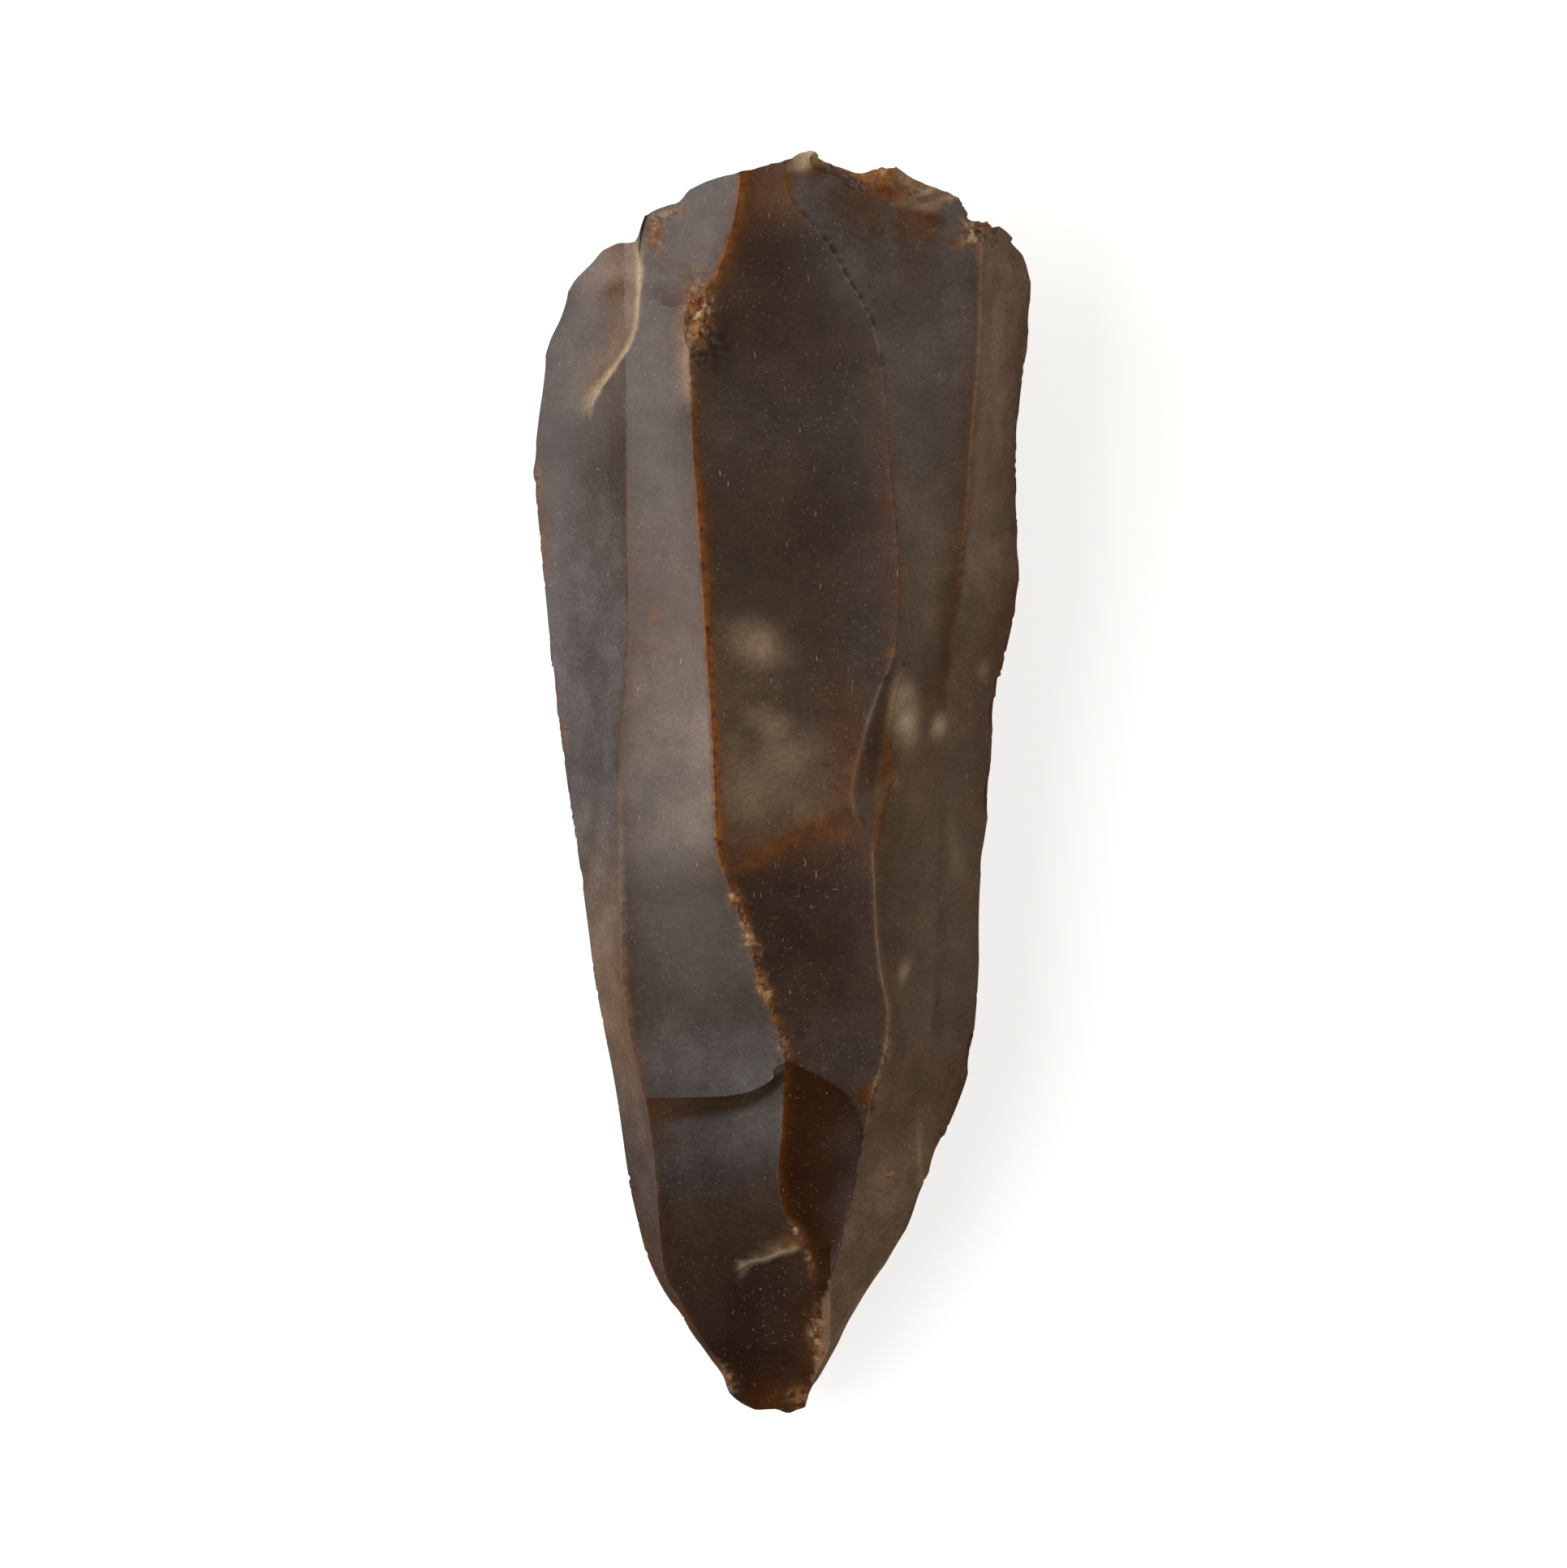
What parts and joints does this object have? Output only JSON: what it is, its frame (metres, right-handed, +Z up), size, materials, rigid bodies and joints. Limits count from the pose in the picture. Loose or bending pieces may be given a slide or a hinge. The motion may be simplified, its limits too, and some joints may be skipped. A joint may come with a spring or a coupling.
{
  "type": "flint blade core",
  "caption": "Long tapering lump of struck flint with a slanted striking platform at its wide end and narrow blade scars running to a blunt tip.",
  "frame": {"origin": "middle of the bounding box on the plane that the stone rests on", "axes": "+Y along the stone towards the striking platform, +Z up out of the blade face, +X to the right seen from above with the platform away"},
  "size_m": [0.0472, 0.1198, 0.03],
  "materials": {
    "flint": "semi-gloss grey-brown flint with rust staining on its ridges"
  },
  "bodies": {
    "root": {"blade_core": "flint"}
  },
  "joints": []
}
